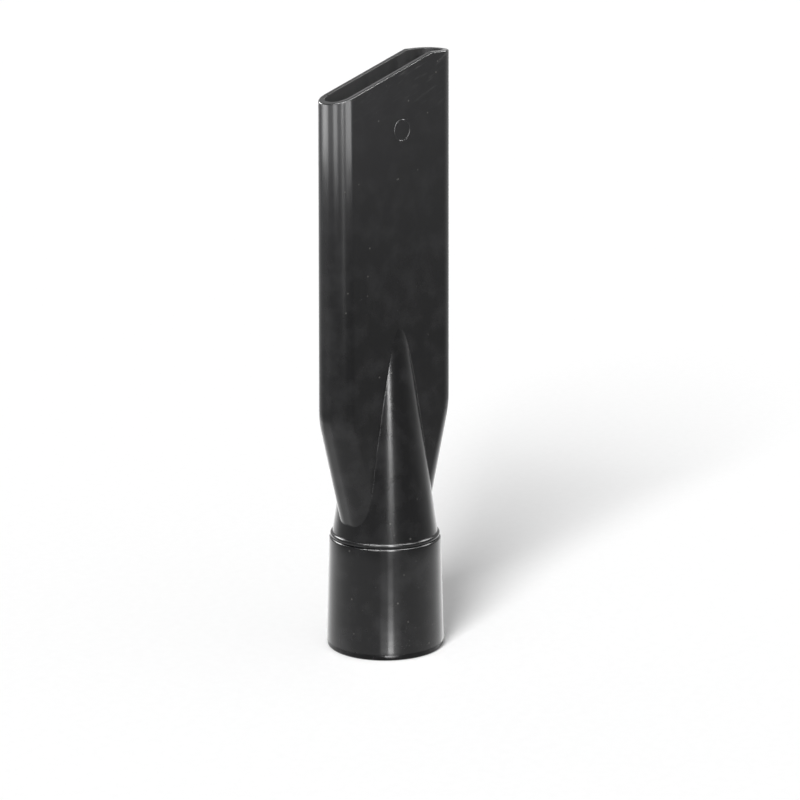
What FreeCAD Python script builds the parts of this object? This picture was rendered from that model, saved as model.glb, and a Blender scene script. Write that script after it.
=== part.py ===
import FreeCAD
import Part
import Sketcher
import os

# Crevice tool for a vacuum cleaner with 32 mm tubes, moulded in one hollow piece.
# It stands on its round collar: the origin is the centre of the socket's mouth, +Z runs
# along the tube's axis to the tip, X is the blade's width and +X is the side of the tip.
# The outside and the hollow are built as two forms, like the cavity and the core of the
# mould, and the hollow is cut out of the outside.

SIZES = (
    ("tool_length", 189.0, "foot of the collar to the tip"),
    ("wall", 1.9, "thickness of the neck's and the blade's wall"),
    ("blade_width", 50.2, "over the rounded narrow sides"),
    ("tip_thickness", 12.6, "over the broad faces at the tip"),
    ("blade_draft", 0.33, "lean of each broad face, thicker towards the neck, degrees"),
    ("side_flat", 0.8, "flat left between the roundings of a narrow side at the tip"),
    ("shoulder_height", 76.1, "foot to where the narrow sides turn in"),
    ("shoulder_gap", 4.7, "top of the bead to where the narrow sides end on the neck"),
    ("shoulder_bend", 30.0, "radius of the bend at the shoulder"),
    ("mouth_angle", 18.2, "fall of the slanted mouth, degrees"),
    ("tip_land", 10.7, "width of the level part of the mouth"),
    ("mouth_bend", 3.0, "radius between the slanted and the level part of the mouth"),
    ("mouth_round", 0.5, "rounding of the mouth's outer edge"),
    ("mouth_chamfer", 0.25, "chamfer on the mouth's inner edge"),
    ("ring_across", 1.2, "middle of the blade to the middle of the ring mark, towards the tip"),
    ("ring_drop", 23.0, "tip down to the middle of the ring mark"),
    ("ring_dia", 7.0, "outside of the ring mark"),
    ("ring_width", 0.5, "width of the ring mark's ridge"),
    ("ring_rise", 0.2, "how far the ring mark stands out from the broad face"),
    ("ring_slope", 0.12, "chamfer on the edges of the ring mark's ridge"),
    ("arch_height", 104.4, "foot to the point of the arch on the broad faces"),
    ("crease_round", 1.0, "rounding where the neck meets the blade"),
    ("neck_step", 0.8, "how far the neck stands back from the collar's top"),
    ("collar_height", 36.2, "foot to the top of the collar"),
    ("collar_wall", 1.8, "thickness of the collar's wall at its top"),
    ("collar_flare", 1.0, "how much wider the collar is at its foot, on the radius"),
    ("collar_chamfer", 0.5, "chamfer on the collar's top edge"),
    ("bead_height", 1.7, "height of the bead on top of the collar"),
    ("bead_rise", 0.6, "how far the bead stands out from the neck"),
    ("rim_height", 1.6, "height of the foot rim"),
    ("rim_step", 0.3, "how far the foot rim stands back from the collar"),
    ("rim_chamfer", 0.5, "chamfer on the foot rim's lower edge"),
    ("socket_bore", 32.0, "bore of the seat that grips the tube"),
    ("lead_in_length", 9.0, "height of the flared entry below the seat"),
    ("lead_in_flare", 0.35, "how much wider the entry is at the foot, on the radius"),
    ("socket_chamfer", 0.5, "chamfer on the socket's lower edge"),
    ("stop_drop", 2.4, "top of the collar down to the ledge that stops the tube"),
    ("stop_width", 1.4, "width of the ledge that stops the tube"),
)

doc = FreeCAD.newDocument("crevice_tool")
sheet = doc.addObject("Spreadsheet::Sheet", "sizes")
for row, (alias, size, meaning) in enumerate(SIZES, start=1):
    sheet.set(f"A{row}", meaning)
    sheet.set(f"B{row}", str(size))
    sheet.setAlias(f"B{row}", alias)
doc.recompute()

# How far the cutting shapes run on past the faces that they cut, in mm.
OVERRUN = "5"
# Closer than this, two places count as the same, in mm.
TOUCH = 0.01

# Radii and heights that follow from the sizes, as expressions on the sheet.
SEAT_RADIUS = "(sizes.socket_bore / 2)"
ENTRY_RADIUS = f"({SEAT_RADIUS} + sizes.lead_in_flare)"
CHAMFER_RADIUS = f"({ENTRY_RADIUS} + sizes.socket_chamfer)"
STOP_RADIUS = f"({SEAT_RADIUS} - sizes.stop_width)"
STOP_HEIGHT = "(sizes.collar_height - sizes.stop_drop)"
COLLAR_TOP_RADIUS = f"({SEAT_RADIUS} + sizes.collar_wall)"
COLLAR_FOOT_RADIUS = f"({COLLAR_TOP_RADIUS} + sizes.collar_flare)"
RIM_RADIUS = f"({COLLAR_FOOT_RADIUS} - sizes.rim_step)"
NECK_START_RADIUS = f"({COLLAR_TOP_RADIUS} - sizes.neck_step)"
BEAD_TOP = "(sizes.collar_height + sizes.bead_height)"
LAND_X = "(sizes.blade_width / 2 - sizes.tip_land)"
SIDE_ROUND = "((sizes.tip_thickness - sizes.side_flat) / 2)"
# The neck is a cone that meets the drafted broad faces at the point of the arch.
DRAFT = "tan(sizes.blade_draft)"
ARCH_RADIUS = f"(sizes.tip_thickness / 2 + (sizes.tool_length - sizes.arch_height) * {DRAFT})"
NECK_FALL = f"(({NECK_START_RADIUS} - {ARCH_RADIUS}) / (sizes.arch_height - sizes.collar_height))"
NECK_SLANT = f"sqrt(1 + {NECK_FALL} ^ 2)"
NECK_WALL = f"(sizes.wall * {NECK_SLANT})"
# The bead's outline is an arc over a chord that follows the neck.
BEAD_CHORD = f"(sizes.bead_height * {NECK_SLANT})"
BEAD_RADIUS = f"(({BEAD_CHORD} ^ 2 / 4 + sizes.bead_rise ^ 2) / (2 * sizes.bead_rise))"


def number(expression):
    """Number that an expression on the sheet stands for."""
    return float(sheet.evalExpression(expression))


def neck_radius(height):
    """Expression for the neck's outside radius at a height."""
    return f"({NECK_START_RADIUS} - {NECK_FALL} * ({height} - sizes.collar_height))"


def neck_height(radius):
    """Expression for the height at which the neck's outside has a radius."""
    return f"(sizes.collar_height + ({NECK_START_RADIUS} - {radius}) / {NECK_FALL})"


# The narrow sides lean from the shoulder to their end on the neck.
SHOULDER_FOOT = f"({BEAD_TOP} + sizes.shoulder_gap)"
SHOULDER_REACH = f"(sizes.blade_width / 2 - {neck_radius(SHOULDER_FOOT)})"
SHOULDER_LEAN = f"atan({SHOULDER_REACH} / (sizes.shoulder_height - {SHOULDER_FOOT}))"


def origin_plane(body, role):
    """Origin plane of a body, found by its role."""
    for feature in body.Origin.OriginFeatures:
        if feature.Role == role:
            return feature


def arc_between(start, end, radius, turn):
    """Arc from start to end that turns left (1) or right (-1)."""
    chord = end - start
    left = FreeCAD.Vector(-chord.y, chord.x, 0).normalize()
    centre = (start + end) / 2 + left * turn * (radius ** 2 - chord.Length ** 2 / 4) ** 0.5
    circle = Part.Circle(centre, FreeCAD.Vector(0, 0, 1), radius)
    first, last = (start, end) if turn > 0 else (end, start)
    return Part.ArcOfCircle(circle, circle.parameter(first), circle.parameter(last))


def bind(sketch, expression, kind, *ends):
    """Dimension in a sketch that takes its size from an expression on the sheet."""
    place = sketch.addConstraint(Sketcher.Constraint(kind, *ends, number(expression)))
    sketch.setExpression(f"Constraints[{place}]", expression)


def new_sketch(body, name, role):
    """Empty sketch on an origin plane of its body."""
    sketch = body.newObject("Sketcher::SketchObject", name)
    sketch.AttachmentSupport = (origin_plane(body, role), [""])
    sketch.MapMode = "FlatFace"
    return sketch


def add_sketch(body, name, role, corners):
    """Closed sketch on an origin plane, its corners placed by expressions on the sheet.

    A corner is (across, up). With (radius, turn) after that, its edge to the next corner is an arc.
    """
    sketch = new_sketch(body, name, role)
    points = [FreeCAD.Vector(number(corner[0]), number(corner[1]), 0) for corner in corners]
    # An arc's own ends run counter-clockwise, so one that turns right starts at its second end.
    starts = []
    for corner, start, end in zip(corners, points, points[1:] + points[:1]):
        if len(corner) == 2:
            sketch.addGeometry(Part.LineSegment(start, end))
            starts.append(1)
        else:
            radius, turn = corner[2]
            edge = sketch.addGeometry(arc_between(start, end, number(radius), turn))
            bind(sketch, radius, "Radius", edge)
            starts.append(1 if turn > 0 else 2)
    for edge, start in enumerate(starts):
        following = (edge + 1) % len(starts)
        joined = Sketcher.Constraint("Coincident", edge, 3 - start, following, starts[following])
        sketch.addConstraint(joined)
    for edge, corner in enumerate(corners):
        for kind, expression, axis in (("DistanceX", corner[0], -2), ("DistanceY", corner[1], -1)):
            if expression == "0":
                sketch.addConstraint(Sketcher.Constraint("PointOnObject", edge, starts[edge], axis))
            else:
                bind(sketch, expression, kind, -1, 1, edge, starts[edge])
    return sketch


def add_feature(body, kind, name, sizes=(), **settings):
    """Feature at the end of a body, with its settings and the expressions for its sizes."""
    feature = body.newObject(f"PartDesign::{kind}", name)
    doc.recompute()
    for key, setting in settings.items():
        setattr(feature, key, setting)
    for key, expression in sizes:
        feature.setExpression(key, expression)
    feature.Refine = True
    body.Tip = feature
    doc.recompute()
    return feature


def pick_edges(feature, wanted):
    """Feature and the names of its edges that pass a test on the edge and its two faces."""
    shape = feature.Shape
    names = []
    for index, edge in enumerate(shape.Edges, start=1):
        if wanted(edge, shape.ancestorsOfType(edge, Part.Face)):
            names.append(f"Edge{index}")
    return feature, names


def pick_faces(feature, wanted):
    """Feature and the names of its faces that pass a test on the face's middle and normal."""
    names = []
    for index, face in enumerate(feature.Shape.Faces, start=1):
        first_u, last_u, first_v, last_v = face.ParameterRange
        middle = ((first_u + last_u) / 2, (first_v + last_v) / 2)
        if wanted(face.valueAt(*middle), face.normalAt(*middle)):
            names.append(f"Face{index}")
    return feature, names


def add_blade(body, inset, top):
    """Drafted blade with rounded narrow sides and shoulders, set in from the outside."""
    side_x = f"(sizes.blade_width / 2 - {inset})"
    bend = f"(sizes.shoulder_bend - {inset})"
    bend_top = f"(sizes.shoulder_height + sizes.shoulder_bend * tan({SHOULDER_LEAN} / 2))"
    bend_foot = f"({bend_top} - {bend} * sin({SHOULDER_LEAN}))"
    bend_foot_x = f"({side_x} - {bend} * (1 - cos({SHOULDER_LEAN})))"
    # The lower end is hidden in the neck, level with the top of the bead.
    root_x = f"({bend_foot_x} - ({bend_foot} - {BEAD_TOP}) * tan({SHOULDER_LEAN}))"
    front = [
        (side_x, top),
        (side_x, bend_top, (bend, -1)),
        (bend_foot_x, bend_foot),
        (root_x, BEAD_TOP),
        (f"(-{root_x})", BEAD_TOP),
        (f"(-{bend_foot_x})", bend_foot, (bend, -1)),
        (f"(-{side_x})", bend_top),
        (f"(-{side_x})", top),
    ]
    outline = add_sketch(body, "front", "XZ_Plane", front)
    thickness = f"(sizes.tip_thickness - 2 * {inset} - 2 * ({top} - sizes.tool_length) * {DRAFT})"
    slab = add_feature(
        body, "Pad", "slab", [("Length", thickness)], Profile=outline, Midplane=True
    )
    drafted = add_feature(
        body,
        "Draft",
        "drafted_slab",
        [("Angle", "sizes.blade_draft")],
        Base=pick_faces(slab, lambda place, normal: abs(normal.y) > 1 - TOUCH),
        NeutralPlane=pick_faces(slab, lambda place, normal: normal.z > 1 - TOUCH),
    )
    return add_feature(
        body,
        "Fillet",
        "rounded_sides",
        [("Radius", f"({SIDE_ROUND} - {inset})")],
        Base=pick_edges(drafted, lambda edge, faces: edge.BoundBox.ZLength > TOUCH),
    )


def add_turned(body, name, corners):
    """Solid turned about the tube's axis from a half outline."""
    outline = add_sketch(body, f"{name}_outline", "XZ_Plane", corners)
    return add_feature(body, "Revolution", name, Profile=outline, ReferenceAxis=(outline, ["V_Axis"]))


# Outside of the tool
outside = doc.addObject("PartDesign::Body", "outside")
outside.Label = "crevice_tool"
add_blade(outside, "0", "sizes.tool_length")

# Collar with its foot rim and bead, and the conical neck that fades into the blade
neck_tip = "(sizes.tip_thickness / 2 - sizes.wall)"
collar_corners = [
    ("0", "0"),
    (f"({RIM_RADIUS} - sizes.rim_chamfer)", "0"),
    (RIM_RADIUS, "sizes.rim_chamfer"),
    (RIM_RADIUS, "sizes.rim_height"),
    (COLLAR_FOOT_RADIUS, "(sizes.rim_height + sizes.rim_step)"),
    (COLLAR_TOP_RADIUS, "(sizes.collar_height - sizes.collar_chamfer)"),
    (f"({COLLAR_TOP_RADIUS} - sizes.collar_chamfer)", "sizes.collar_height"),
    (NECK_START_RADIUS, "sizes.collar_height", (BEAD_RADIUS, 1)),
    (neck_radius(BEAD_TOP), BEAD_TOP),
    (neck_tip, neck_height(neck_tip)),
    ("0", neck_height(neck_tip)),
]
collar = add_turned(outside, "collar_and_neck", collar_corners)

# Slanted mouth with a level tip
mouth_drop = f"((sizes.blade_width - sizes.tip_land + {OVERRUN}) * tan(sizes.mouth_angle))"
mouth_corners = [
    (LAND_X, "sizes.tool_length"),
    (LAND_X, f"(sizes.tool_length + {OVERRUN})"),
    (f"(-sizes.blade_width / 2 - {OVERRUN})", f"(sizes.tool_length + {OVERRUN})"),
    (f"(-sizes.blade_width / 2 - {OVERRUN})", f"(sizes.tool_length - {mouth_drop})"),
]
mouth_outline = add_sketch(outside, "mouth_outline", "XZ_Plane", mouth_corners)
mouth = add_feature(
    outside, "Pocket", "mouth", Profile=mouth_outline, Midplane=True, Type="ThroughAll"
)
if mouth.Shape.Volume > collar.Shape.Volume - 1:
    raise RuntimeError("the mouth cuts nothing off")


def is_mouth_corner(edge, faces):
    """Whether an edge is the corner between the slanted and the level part of the mouth."""
    middle = edge.BoundBox.Center
    across = abs(middle.x - number(LAND_X)) < TOUCH
    return across and abs(middle.z - number("sizes.tool_length")) < TOUCH


def is_mouth_end(place, normal):
    """Whether a face is part of the slanted and level end of the blade."""
    steepest = number("cos(sizes.mouth_angle)")
    return place.z > number("sizes.shoulder_height") and normal.z > steepest - TOUCH


def is_crease(edge, faces):
    """Whether an edge lies between the conical neck and the blade."""
    cones = [face for face in faces if face.Surface.TypeId == "Part::GeomCone"]
    return len(cones) == 1 and edge.BoundBox.ZMin > number(BEAD_TOP) + TOUCH


mouth_corner = add_feature(
    outside,
    "Fillet",
    "mouth_corner",
    [("Radius", "sizes.mouth_bend")],
    Base=pick_edges(mouth, is_mouth_corner),
)
crease = add_feature(
    outside,
    "Fillet",
    "crease",
    [("Radius", "sizes.crease_round")],
    Base=pick_edges(mouth_corner, is_crease),
)
add_feature(
    outside,
    "Fillet",
    "mouth_outer_edge",
    [("Radius", "sizes.mouth_round")],
    Base=pick_faces(crease, is_mouth_end),
)

# Raised ring that the mould leaves on one broad face, a low ridge with sloped edges
ring_height = "(sizes.tool_length - sizes.ring_drop)"
ring_reach = f"(sizes.tip_thickness / 2 + sizes.ring_drop * {DRAFT} + sizes.ring_rise)"
ring_outline = new_sketch(outside, "ring_outline", "XZ_Plane")
ring_middle = FreeCAD.Vector(number("sizes.ring_across"), number(ring_height), 0)
for radius in ("(sizes.ring_dia / 2)", "(sizes.ring_dia / 2 - sizes.ring_width)"):
    circle = Part.Circle(ring_middle, FreeCAD.Vector(0, 0, 1), number(radius))
    edge = ring_outline.addGeometry(circle)
    bind(ring_outline, radius, "Radius", edge)
    bind(ring_outline, "sizes.ring_across", "DistanceX", -1, 1, edge, 3)
    bind(ring_outline, ring_height, "DistanceY", -1, 1, edge, 3)
ring = add_feature(outside, "Pad", "ring", [("Length", ring_reach)], Profile=ring_outline)


def is_ring_edge(edge, faces):
    """Whether an edge runs round the ridge of the ring mark."""
    box = edge.BoundBox
    level = box.YLength < TOUCH and abs(abs(box.Center.y) - number(ring_reach)) < TOUCH
    return level and abs(box.Center.z - number(ring_height)) < TOUCH


add_feature(
    outside,
    "Chamfer",
    "ring_edges",
    [("Size", "sizes.ring_slope")],
    Base=pick_edges(ring, is_ring_edge),
)

# Hollow: the air's way through the blade, and the neck and socket below it
hollow = doc.addObject("PartDesign::Body", "hollow")
add_blade(hollow, "sizes.wall", f"(sizes.tool_length + {OVERRUN})")
stop_top = neck_height(f"({STOP_RADIUS} + {NECK_WALL})")
core_tip = "(sizes.tip_thickness / 2 - 2 * sizes.wall)"
core_top = neck_height(f"({core_tip} + {NECK_WALL})")
socket_corners = [
    ("0", f"(-{OVERRUN})"),
    (CHAMFER_RADIUS, f"(-{OVERRUN})"),
    (CHAMFER_RADIUS, "0"),
    (ENTRY_RADIUS, "sizes.socket_chamfer"),
    (SEAT_RADIUS, "sizes.lead_in_length"),
    (SEAT_RADIUS, STOP_HEIGHT),
    (STOP_RADIUS, STOP_HEIGHT),
    (STOP_RADIUS, stop_top),
    (core_tip, core_top),
    ("0", core_top),
]
add_turned(hollow, "socket_and_neck", socket_corners)

hollowed = outside.newObject("PartDesign::Boolean", "hollowed")
hollowed.setObjects([hollow])
hollowed.Type = "Cut"
outside.Tip = hollowed
doc.recompute()

add_feature(
    outside,
    "Chamfer",
    "mouth_inner_edge",
    [("Size", "sizes.mouth_chamfer")],
    Base=pick_faces(hollowed, is_mouth_end),
)

for item in doc.Objects:
    if "Invalid" in item.State or "Error" in item.State:
        raise RuntimeError(f"{item.Name} failed: {item.State}")
tool = outside.Shape
if tool.isNull() or not tool.isValid() or len(tool.Solids) != 1:
    raise RuntimeError("the tool is not one valid solid")

os.makedirs("parts", exist_ok=True)
tool.exportStep(f"parts/{outside.Label}.step")
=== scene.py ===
import math

import bmesh
import bpy
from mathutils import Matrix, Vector


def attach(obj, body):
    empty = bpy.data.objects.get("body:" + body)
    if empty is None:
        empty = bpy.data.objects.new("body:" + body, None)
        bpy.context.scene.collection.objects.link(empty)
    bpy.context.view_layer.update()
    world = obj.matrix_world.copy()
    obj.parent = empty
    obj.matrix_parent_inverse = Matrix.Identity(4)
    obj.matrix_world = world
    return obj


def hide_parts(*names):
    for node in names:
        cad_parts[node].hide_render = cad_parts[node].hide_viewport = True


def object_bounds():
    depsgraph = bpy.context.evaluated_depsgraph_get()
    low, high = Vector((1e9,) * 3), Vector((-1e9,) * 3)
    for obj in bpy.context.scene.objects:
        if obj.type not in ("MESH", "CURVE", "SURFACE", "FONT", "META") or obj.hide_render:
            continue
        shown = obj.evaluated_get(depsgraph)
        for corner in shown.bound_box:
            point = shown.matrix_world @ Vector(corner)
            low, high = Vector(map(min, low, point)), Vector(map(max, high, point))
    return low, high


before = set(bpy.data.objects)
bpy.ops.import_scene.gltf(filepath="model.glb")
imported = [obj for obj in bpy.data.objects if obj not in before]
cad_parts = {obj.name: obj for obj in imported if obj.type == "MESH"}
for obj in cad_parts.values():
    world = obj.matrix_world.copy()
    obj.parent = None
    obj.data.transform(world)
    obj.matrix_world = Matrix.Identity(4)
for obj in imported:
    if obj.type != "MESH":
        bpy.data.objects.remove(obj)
cad_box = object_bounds()

# Crevice tool
# One hollow moulding: collar, neck and flat blade with an open mouth, in black polypropylene.
# A polished mould gives the outside a soft gloss with faint upright flow marks. Use has left
# dust, a thin film, and light scuffs near the tip. The blade is painted a little lighter towards
# its tip, a painted reflection of the brighter light it mirrors there.
MM = 0.001
TIP_HEIGHT = cad_box[1][2]


def linear(hex_colour):
    """Linear colour with alpha from an sRGB hex value."""
    channels = [int(hex_colour[start:start + 2], 16) / 255 for start in (1, 3, 5)]
    return [c / 12.92 if c <= 0.04045 else ((c + 0.055) / 1.055) ** 2.4 for c in channels] + [1.0]


def add_node(tree, kind, settings, inputs):
    """Node with its settings, and its inputs set to a value or linked to an output."""
    node = tree.nodes.new(kind)
    for name, setting in settings.items():
        setattr(node, name, setting)
    for name, source in inputs.items():
        if isinstance(source, bpy.types.NodeSocket):
            tree.links.new(source, node.inputs[name])
        else:
            node.inputs[name].default_value = source
    return node


# The sockets of a Mix node share their names, so they go by their places.
COLOUR_A = 6
COLOUR_B = 7
COLOUR_OUT = 2
NUMBER_A = 2
NUMBER_B = 3
NUMBER_OUT = 0

plastic = bpy.data.materials.new("moulded_black_polypropylene")
plastic.use_nodes = True
tree = plastic.node_tree
place = add_node(tree, "ShaderNodeTexCoord", {}, {}).outputs["Object"]
height = add_node(tree, "ShaderNodeSeparateXYZ", {}, {"Vector": place}).outputs["Z"]

# Shrinkage leaves broad, shallow waves in the walls.
WAVE_LENGTH = 16 * MM
WAVE_DEPTH = 0.012 * MM
waves = add_node(
    tree, "ShaderNodeTexNoise", {}, {"Vector": place, "Scale": 1 / WAVE_LENGTH, "Detail": 1.0}
)

# The melt ran up from the collar, so the flow marks are long and upright.
FLOW_WIDTH = 1.4 * MM
FLOW_LENGTH = 40 * MM
FLOW_DEPTH = 0.002 * MM
along_flow = add_node(
    tree,
    "ShaderNodeMapping",
    {},
    {"Vector": place, "Scale": (1 / FLOW_WIDTH, 1 / FLOW_WIDTH, 1 / FLOW_LENGTH)},
).outputs["Vector"]
flow = add_node(tree, "ShaderNodeTexNoise", {}, {"Vector": along_flow, "Scale": 1.0, "Detail": 3.0})

# The real grain of the mould is finer than a pixel, so it is drawn a few times coarser.
GRAIN_WIDTH = 0.45 * MM
GRAIN_DEPTH = 0.0008 * MM
grain = add_node(
    tree, "ShaderNodeTexNoise", {}, {"Vector": place, "Scale": 1 / GRAIN_WIDTH, "Detail": 2.0}
)

# Dust: small pale specks, in some of the cells of a loose scatter, and in most of them on the
# collar, where hands hold the tool.
DUST_SPACING = 4.2 * MM
DUST_RADIUS = 0.42 * MM
DUST_CORE_RADIUS = 0.3 * DUST_RADIUS
COLLAR_TOP = 36 * MM
NECK_CLEAN_FROM = 46 * MM
CLEAN_SHARE_COLLAR = 0.15
CLEAN_SHARE_ABOVE = 0.68
scatter = add_node(tree, "ShaderNodeTexVoronoi", {}, {"Vector": place, "Scale": 1 / DUST_SPACING})
speck = add_node(
    tree,
    "ShaderNodeMapRange",
    {},
    {
        "Value": scatter.outputs["Distance"],
        "From Min": DUST_RADIUS / DUST_SPACING,
        "From Max": DUST_CORE_RADIUS / DUST_SPACING,
    },
)
clean_share = add_node(
    tree,
    "ShaderNodeMapRange",
    {},
    {
        "Value": height,
        "From Min": COLLAR_TOP,
        "From Max": NECK_CLEAN_FROM,
        "To Min": CLEAN_SHARE_COLLAR,
        "To Max": CLEAN_SHARE_ABOVE,
    },
)
cell_number = add_node(tree, "ShaderNodeSeparateColor", {}, {"Color": scatter.outputs["Color"]})
dusty_cell = add_node(
    tree,
    "ShaderNodeMath",
    {"operation": "GREATER_THAN"},
    {0: cell_number.outputs["Red"], 1: clean_share.outputs["Result"]},
)
dust = add_node(
    tree,
    "ShaderNodeMath",
    {"operation": "MULTIPLY"},
    {0: speck.outputs["Result"], 1: dusty_cell.outputs["Value"]},
)

# Scuffs: short soft rubs along the slant of the mouth, near the tip.
SCUFF_WIDTH = 1.1 * MM
SCUFF_LENGTH = 6 * MM
SCUFF_SLANT = math.radians(-24)
SCUFF_FROM = 168 * MM
RUB_STARTS = 0.58
RUB_FULL = 0.8
along_scuff = add_node(
    tree,
    "ShaderNodeMapping",
    {"vector_type": "TEXTURE"},
    {"Vector": place, "Rotation": (0, SCUFF_SLANT, 0), "Scale": (SCUFF_LENGTH, SCUFF_WIDTH, SCUFF_WIDTH)},
).outputs["Vector"]
rubs = add_node(tree, "ShaderNodeTexNoise", {}, {"Vector": along_scuff, "Scale": 1.0, "Detail": 2.0})
rubbed = add_node(
    tree,
    "ShaderNodeMapRange",
    {},
    {"Value": rubs.outputs["Fac"], "From Min": RUB_STARTS, "From Max": RUB_FULL},
)
near_tip = add_node(
    tree, "ShaderNodeMapRange", {}, {"Value": height, "From Min": SCUFF_FROM, "From Max": TIP_HEIGHT}
)
scuff = add_node(
    tree,
    "ShaderNodeMath",
    {"operation": "MULTIPLY"},
    {0: rubbed.outputs["Result"], 1: near_tip.outputs["Result"]},
)

# Painted reflection: the blade's colour is painted lighter towards its tip, for the brighter light
# it mirrors there. Handling leaves a thin film in soft patches.
PAINTED_SHEEN_FROM = 100 * MM
FILM_WIDTH = 7 * MM
FILM_STARTS = 0.45
FILM_FULL = 0.7
FILM_STRENGTH = 0.5
painted_sheen_to_tip = add_node(
    tree, "ShaderNodeMapRange", {}, {"Value": height, "From Min": PAINTED_SHEEN_FROM, "From Max": TIP_HEIGHT}
)
film_patches = add_node(
    tree, "ShaderNodeTexNoise", {}, {"Vector": place, "Scale": 1 / FILM_WIDTH, "Detail": 5.0}
)
film = add_node(
    tree,
    "ShaderNodeMapRange",
    {},
    {
        "Value": film_patches.outputs["Fac"],
        "From Min": FILM_STARTS,
        "From Max": FILM_FULL,
        "To Max": FILM_STRENGTH,
    },
)

# Colour: the black of the plastic, painted lighter towards the tip as a painted reflection, with
# the scuffs, the film and the dust laid over it in turn.
tone = add_node(
    tree,
    "ShaderNodeMix",
    {"data_type": "RGBA"},
    {"Factor": painted_sheen_to_tip.outputs["Result"], COLOUR_A: linear("#080809"), COLOUR_B: linear("#202021")},
)
scuffed = add_node(
    tree,
    "ShaderNodeMix",
    {"data_type": "RGBA"},
    {"Factor": scuff.outputs["Value"], COLOUR_A: tone.outputs[COLOUR_OUT], COLOUR_B: linear("#3a3a3a")},
)
filmed = add_node(
    tree,
    "ShaderNodeMix",
    {"data_type": "RGBA"},
    {"Factor": film.outputs["Result"], COLOUR_A: scuffed.outputs[COLOUR_OUT], COLOUR_B: linear("#242425")},
)
dusted = add_node(
    tree,
    "ShaderNodeMix",
    {"data_type": "RGBA"},
    {"Factor": dust.outputs["Value"], COLOUR_A: filmed.outputs[COLOUR_OUT], COLOUR_B: linear("#454442")},
)

# Gloss: even over most of the surface, a little uneven along the flow, dull on rubs and dust.
NOISE_LOW = 0.3
NOISE_HIGH = 0.7
SMOOTHEST = 0.205
LEAST_SMOOTH = 0.235
RUB_ROUGHNESS = 0.35
DUST_ROUGHNESS = 0.3
PLASTIC_IOR = 1.49
PLASTIC_SPECULAR = 0.15
flow_gloss = add_node(
    tree,
    "ShaderNodeMapRange",
    {},
    {
        "Value": flow.outputs["Fac"],
        "From Min": NOISE_LOW,
        "From Max": NOISE_HIGH,
        "To Min": SMOOTHEST,
        "To Max": LEAST_SMOOTH,
    },
)
scuff_gloss = add_node(
    tree,
    "ShaderNodeMix",
    {"data_type": "FLOAT"},
    {"Factor": scuff.outputs["Value"], NUMBER_A: flow_gloss.outputs["Result"], NUMBER_B: RUB_ROUGHNESS},
)
dust_gloss = add_node(
    tree,
    "ShaderNodeMix",
    {"data_type": "FLOAT"},
    {"Factor": dust.outputs["Value"], NUMBER_A: scuff_gloss.outputs[NUMBER_OUT], NUMBER_B: DUST_ROUGHNESS},
)
wavy = add_node(tree, "ShaderNodeBump", {}, {"Height": waves.outputs["Fac"], "Distance": WAVE_DEPTH})
flowed = add_node(
    tree,
    "ShaderNodeBump",
    {},
    {"Height": flow.outputs["Fac"], "Distance": FLOW_DEPTH, "Normal": wavy.outputs["Normal"]},
)
grained = add_node(
    tree,
    "ShaderNodeBump",
    {},
    {"Height": grain.outputs["Fac"], "Distance": GRAIN_DEPTH, "Normal": flowed.outputs["Normal"]},
)
shader = tree.nodes["Principled BSDF"]
shader.inputs["IOR"].default_value = PLASTIC_IOR
shader.inputs["Specular IOR Level"].default_value = PLASTIC_SPECULAR
tree.links.new(dusted.outputs[COLOUR_OUT], shader.inputs["Base Color"])
tree.links.new(dust_gloss.outputs[NUMBER_OUT], shader.inputs["Roughness"])
tree.links.new(grained.outputs["Normal"], shader.inputs["Normal"])

# The core of the mould is left as it was turned, so the inside is dull, and drawing the core out
# leaves upright marks.
DRAW_WIDTH = 0.8 * MM
DRAW_LENGTH = 25 * MM
DRAW_DEPTH = 0.003 * MM
CORE_SMOOTHEST = 0.5
CORE_LEAST_SMOOTH = 0.65
core_side = bpy.data.materials.new("core_side_black_polypropylene")
core_side.use_nodes = True
tree = core_side.node_tree
place = add_node(tree, "ShaderNodeTexCoord", {}, {}).outputs["Object"]
along_draw = add_node(
    tree,
    "ShaderNodeMapping",
    {},
    {"Vector": place, "Scale": (1 / DRAW_WIDTH, 1 / DRAW_WIDTH, 1 / DRAW_LENGTH)},
).outputs["Vector"]
drawn = add_node(tree, "ShaderNodeTexNoise", {}, {"Vector": along_draw, "Scale": 1.0, "Detail": 3.0})
core_tone = add_node(
    tree,
    "ShaderNodeMix",
    {"data_type": "RGBA"},
    {"Factor": drawn.outputs["Fac"], COLOUR_A: linear("#0e0e0f"), COLOUR_B: linear("#1a1a1b")},
)
core_gloss = add_node(
    tree,
    "ShaderNodeMapRange",
    {},
    {
        "Value": drawn.outputs["Fac"],
        "From Min": NOISE_LOW,
        "From Max": NOISE_HIGH,
        "To Min": CORE_SMOOTHEST,
        "To Max": CORE_LEAST_SMOOTH,
    },
)
core_bump = add_node(tree, "ShaderNodeBump", {}, {"Height": drawn.outputs["Fac"], "Distance": DRAW_DEPTH})
core_shader = tree.nodes["Principled BSDF"]
core_shader.inputs["IOR"].default_value = PLASTIC_IOR
core_shader.inputs["Specular IOR Level"].default_value = PLASTIC_SPECULAR
tree.links.new(core_tone.outputs[COLOUR_OUT], core_shader.inputs["Base Color"])
tree.links.new(core_gloss.outputs["Result"], core_shader.inputs["Roughness"])
tree.links.new(core_bump.outputs["Normal"], core_shader.inputs["Normal"])

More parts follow.
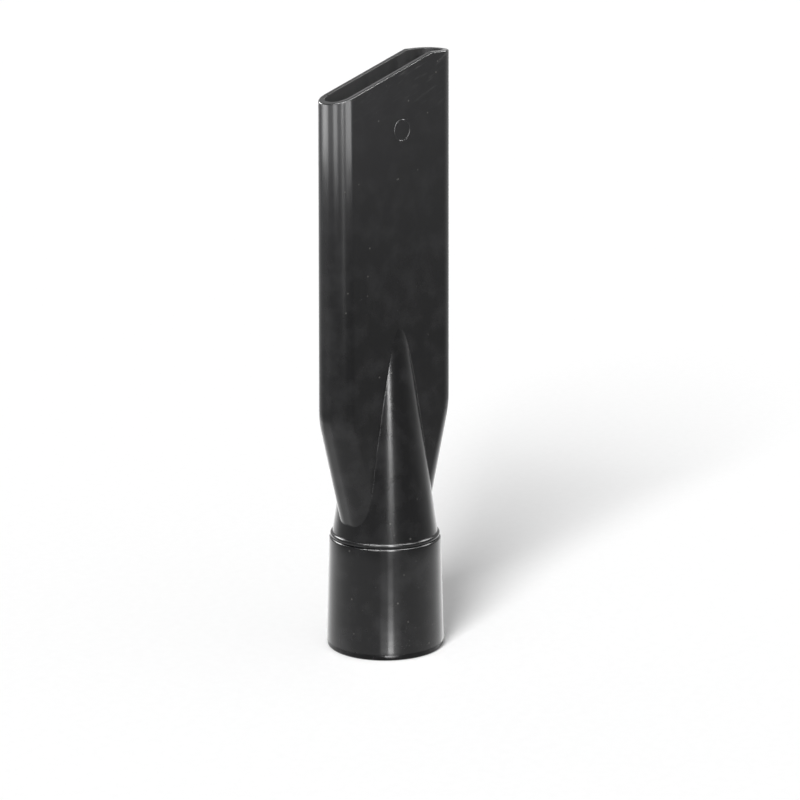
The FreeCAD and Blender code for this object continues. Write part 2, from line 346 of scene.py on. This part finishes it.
# The moulding repeats the solid with its corners joined, so that the gloss runs on evenly over
# the roundings, and its inside is told apart from its outside.
JOIN_WITHIN = 0.002 * MM
SHARP_FROM = math.radians(50)
OUTSIDE_SLOT = 0
INSIDE_SLOT = 1
moulding_mesh = bpy.data.meshes.new("moulding")
shape = bmesh.new()
shape.from_mesh(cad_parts["crevice_tool"].data)
bmesh.ops.remove_doubles(shape, verts=shape.verts, dist=JOIN_WITHIN)
for edge in shape.edges:
    edge.smooth = edge.calc_face_angle(0) < SHARP_FROM
for face in shape.faces:
    face.smooth = True
    middle = face.calc_center_median()
    faces_axis = face.normal.x * middle.x + face.normal.y * middle.y < 0
    face.material_index = INSIDE_SLOT if faces_axis else OUTSIDE_SLOT
shape.to_mesh(moulding_mesh)
shape.free()
moulding_mesh.materials.append(plastic)
moulding_mesh.materials.append(core_side)
moulding = bpy.data.objects.new("moulding", moulding_mesh)
bpy.context.scene.collection.objects.link(moulding)
even_gloss = moulding.modifiers.new("even_gloss", "WEIGHTED_NORMAL")
even_gloss.keep_sharp = True
even_gloss.mode = "FACE_AREA_WITH_ANGLE"

# The neck is a true cone, so its gloss follows the cone and not the facets of the mesh. The evened
# normals are kept everywhere else.
NECK_FOOT = 36.2 * MM
NECK_FOOT_RADIUS = 17.0 * MM
ARCH_HEIGHT = 104.4 * MM
ARCH_RADIUS = 6.787 * MM
ON_NECK = 0.005 * MM
NEAR_NECK = math.cos(math.radians(25))
neck_fall = (NECK_FOOT_RADIUS - ARCH_RADIUS) / (ARCH_HEIGHT - NECK_FOOT)
evened = moulding.evaluated_get(bpy.context.evaluated_depsgraph_get()).data
normals = [corner.vector.copy() for corner in evened.corner_normals]
for face in moulding_mesh.polygons:
    for corner, vertex in zip(face.loop_indices, face.vertices):
        point = moulding_mesh.vertices[vertex].co
        outward = Vector((point.x, point.y, 0))
        neck_radius = NECK_FOOT_RADIUS - neck_fall * (point.z - NECK_FOOT)
        cone_normal = (outward.normalized() + Vector((0, 0, neck_fall))).normalized()
        on_neck = abs(outward.length - neck_radius) < ON_NECK
        if on_neck and face.normal.dot(cone_normal) > NEAR_NECK:
            normals[corner] = cone_normal
moulding.modifiers.remove(even_gloss)
moulding_mesh.normals_split_custom_set(normals)
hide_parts("crevice_tool")
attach(moulding, "root")

# Floor
# A plain pale sheet of uncoated paper, large enough to fill the picture behind the tool. Its
# fibres make it very slightly uneven.
FLOOR_SIDE = 12.0
FIBRE_LENGTH = 3 * MM
PAPER_ROUGHNESS = 0.9
floor_mesh = bpy.data.meshes.new("floor")
shape = bmesh.new()
bmesh.ops.create_grid(shape, x_segments=1, y_segments=1, size=FLOOR_SIDE / 2)
shape.to_mesh(floor_mesh)
shape.free()
floor = bpy.data.objects.new("floor", floor_mesh)
bpy.context.scene.collection.objects.link(floor)
paper = bpy.data.materials.new("white_paper")
paper.use_nodes = True
tree = paper.node_tree
place = add_node(tree, "ShaderNodeTexCoord", {}, {}).outputs["Object"]
fibres = add_node(
    tree, "ShaderNodeTexNoise", {}, {"Vector": place, "Scale": 1 / FIBRE_LENGTH, "Detail": 3.0}
)
paper_tone = add_node(
    tree,
    "ShaderNodeMix",
    {"data_type": "RGBA"},
    {"Factor": fibres.outputs["Fac"], COLOUR_A: linear("#f4f4f4"), COLOUR_B: linear("#f8f8f8")},
)
paper_shader = tree.nodes["Principled BSDF"]
paper_shader.inputs["Roughness"].default_value = PAPER_ROUGHNESS
paper_shader.inputs["Specular IOR Level"].default_value = 0.0
tree.links.new(paper_tone.outputs[COLOUR_OUT], paper_shader.inputs["Base Color"])
floor_mesh.materials.append(paper)

# Camera
# It looks down a little on the tool, turned so that one narrow side and one broad face show.
CAMERA_DISTANCE = 0.8534
CAMERA_HEIGHT = 0.2862
CAMERA_TURN = math.radians(44.06)
CAMERA_PITCH = math.radians(76.43)
CAMERA_HEADING = math.radians(-44.38)
SENSOR_MM = 36.0
LENS_MM = 125.5
camera_data = bpy.data.cameras.new("camera")
camera_data.sensor_width = SENSOR_MM
camera_data.lens = LENS_MM
camera = bpy.data.objects.new("camera", camera_data)
towards = Vector((-math.sin(CAMERA_TURN), -math.cos(CAMERA_TURN), 0))
rightward = Vector((math.cos(CAMERA_TURN), -math.sin(CAMERA_TURN), 0))
camera.location = towards * CAMERA_DISTANCE + Vector((0, 0, CAMERA_HEIGHT))
camera.rotation_euler = (CAMERA_PITCH, 0, CAMERA_HEADING)
bpy.context.scene.collection.objects.link(camera)
bpy.context.scene.camera = camera

# Lights
# A soft sun from beside the camera and a white room light the floor and give the shadow. Strip
# lamps round the tool only draw lines of gloss on it.
SUN_TURN = -18.5
SUN_HEIGHT = math.radians(33.0)
SUN_WIDTH = math.radians(22)
SUN_STRENGTH = 3.7


def way_to(turn):
    """Level direction from the tool, turned to the right of the camera by some degrees."""
    return towards * math.cos(math.radians(turn)) + rightward * math.sin(math.radians(turn))


sun_data = bpy.data.lights.new("sun", "SUN")
sun_data.energy = SUN_STRENGTH
sun_data.angle = SUN_WIDTH
sun = bpy.data.objects.new("sun", sun_data)
sun_way = way_to(SUN_TURN) * math.cos(SUN_HEIGHT)
sun_way.z = math.sin(SUN_HEIGHT)
sun.rotation_euler = (-sun_way).to_track_quat("-Z", "Y").to_euler()
bpy.context.scene.collection.objects.link(sun)


def add_lamp(name, turn, distance, height, tilt, width, tall, watts, spread=180, around=Vector((0, 0, 0))):
    """Flat lamp that shows only as gloss: it stands facing the tool at a tilt of 0 and faces up at 90."""
    lamp_data = bpy.data.lights.new(name, "AREA")
    lamp_data.shape = "RECTANGLE"
    lamp_data.size = width
    lamp_data.size_y = tall
    lamp_data.energy = watts
    lamp_data.spread = math.radians(spread)
    lamp = bpy.data.objects.new(name, lamp_data)
    way = way_to(turn)
    lamp.location = around + way * distance + Vector((0, 0, height))
    lamp.rotation_euler = (math.radians(90 + tilt), 0, math.atan2(way.x, -way.y))
    lamp.visible_camera = False
    lamp.visible_diffuse = False
    bpy.context.scene.collection.objects.link(lamp)


# A row of small lamps close round the top of the rounded side. Three groups of them are stronger
# and give the stripes there. Their beams are narrow, so that the far side doesn't mirror them.
# Each stripe has its middle and its reach in degrees, and the watts of its lamps.
SIDE_MIDDLE = Vector((-19.2 * MM, 0, 0))
ROW_TURNS = range(-104, 66, 12)
ROW_WATTS = 0.00127
STRIPES = ((-86, 10, 0.0051), (-26, 10, 0.0058), (52, 14, 0.0051))
for turn in ROW_TURNS:
    stripe = [watts for middle, reach, watts in STRIPES if abs(turn - middle) < reach]
    add_lamp(
        "stripe_lamp",
        turn=turn,
        distance=0.15,
        height=0.173,
        tilt=3,
        width=0.031,
        tall=0.068,
        watts=stripe[0] if stripe else ROW_WATTS,
        spread=30,
        around=SIDE_MIDDLE,
    )

# One higher lamp in front gives the line down the neck, and four overhead the lines on the bead.
add_lamp("front_lamp", turn=15, distance=0.80, height=0.17, tilt=0, width=0.12, tall=0.09, watts=4.0)
add_lamp("top_lamp", turn=10, distance=0.21, height=0.75, tilt=-74, width=1.20, tall=0.08, watts=46.0)
add_lamp("right_lamp", turn=115, distance=0.56, height=0.50, tilt=-42, width=0.30, tall=0.20, watts=8.0)
add_lamp("left_lamp", turn=-128, distance=0.62, height=0.42, tilt=-34, width=0.30, tall=0.20, watts=8.0)
add_lamp("bead_lamp", turn=14, distance=0.50, height=0.45, tilt=-40, width=0.11, tall=0.45, watts=15.0)

# The bright floor shows in the collar and in the narrow side.
add_lamp("floor_glow", turn=0, distance=0.0, height=0.002, tilt=90, width=0.42, tall=0.42, watts=0.735)
add_lamp("floor_side", turn=-45, distance=0.75, height=0.002, tilt=90, width=1.40, tall=1.00, watts=2.1)

# A thin strip close in front, brighter towards its foot, gives the line up the collar, and a wider,
# fainter one the soft sides of that line. Each is a pile of lamps, taller and fainter step by step.
# Their beams are narrow, so that the collar doesn't mirror them sideways.
STRIP_TURN = 6.9
STRIP_DISTANCE = 24.8 * MM
STRIPS = ((2.6 * MM, 0.00015), (11 * MM, 0.00013))
STRIP_STEPS = 8
FIRST_STEP = 2.2 * MM
STEP_GROWTH = 1.2
STEP_FADE = 0.816
strip_foot = 0.0
for step in range(STRIP_STEPS):
    step_tall = FIRST_STEP * STEP_GROWTH ** step
    for width, watts in STRIPS:
        add_lamp(
            "collar_lamp",
            turn=STRIP_TURN,
            distance=STRIP_DISTANCE,
            height=strip_foot + step_tall / 2,
            tilt=0,
            width=width,
            tall=step_tall,
            watts=watts * STEP_FADE ** step,
            spread=60,
        )
    strip_foot += step_tall

# Two small lamps closer still, leaning back from the tool, show in the foot rim.
RIM_LAMPS = ((5 * MM, 0.00003), (14 * MM, 0.00002))
for width, watts in RIM_LAMPS:
    add_lamp(
        "rim_lamp",
        turn=STRIP_TURN,
        distance=19.9 * MM,
        height=0.47 * MM,
        tilt=35,
        width=width,
        tall=1.0 * MM,
        watts=watts,
        spread=36,
    )

# The room is white to look at, straight or in gloss, and gives less light than it shows.
ROOM_LIGHT = 0.45
ROOM_SHOWN = 1.0
world = bpy.data.worlds.new("studio")
world.use_nodes = True
room = world.node_tree
ray = add_node(room, "ShaderNodeLightPath", {}, {}).outputs
mirrored = add_node(
    room,
    "ShaderNodeMath",
    {"operation": "ADD"},
    {0: ray["Is Glossy Ray"], 1: ray["Is Transmission Ray"]},
)
looked_at = add_node(
    room,
    "ShaderNodeMath",
    {"operation": "ADD", "use_clamp": True},
    {0: ray["Is Camera Ray"], 1: mirrored.outputs["Value"]},
)
glow = add_node(
    room,
    "ShaderNodeMapRange",
    {},
    {"Value": looked_at.outputs["Value"], "To Min": ROOM_LIGHT, "To Max": ROOM_SHOWN},
)
room.nodes["Background"].inputs["Color"].default_value = linear("#ffffff")
room.links.new(glow.outputs["Result"], room.nodes["Background"].inputs["Strength"])
bpy.context.scene.world = world
bpy.context.scene.view_settings.view_transform = "Standard"
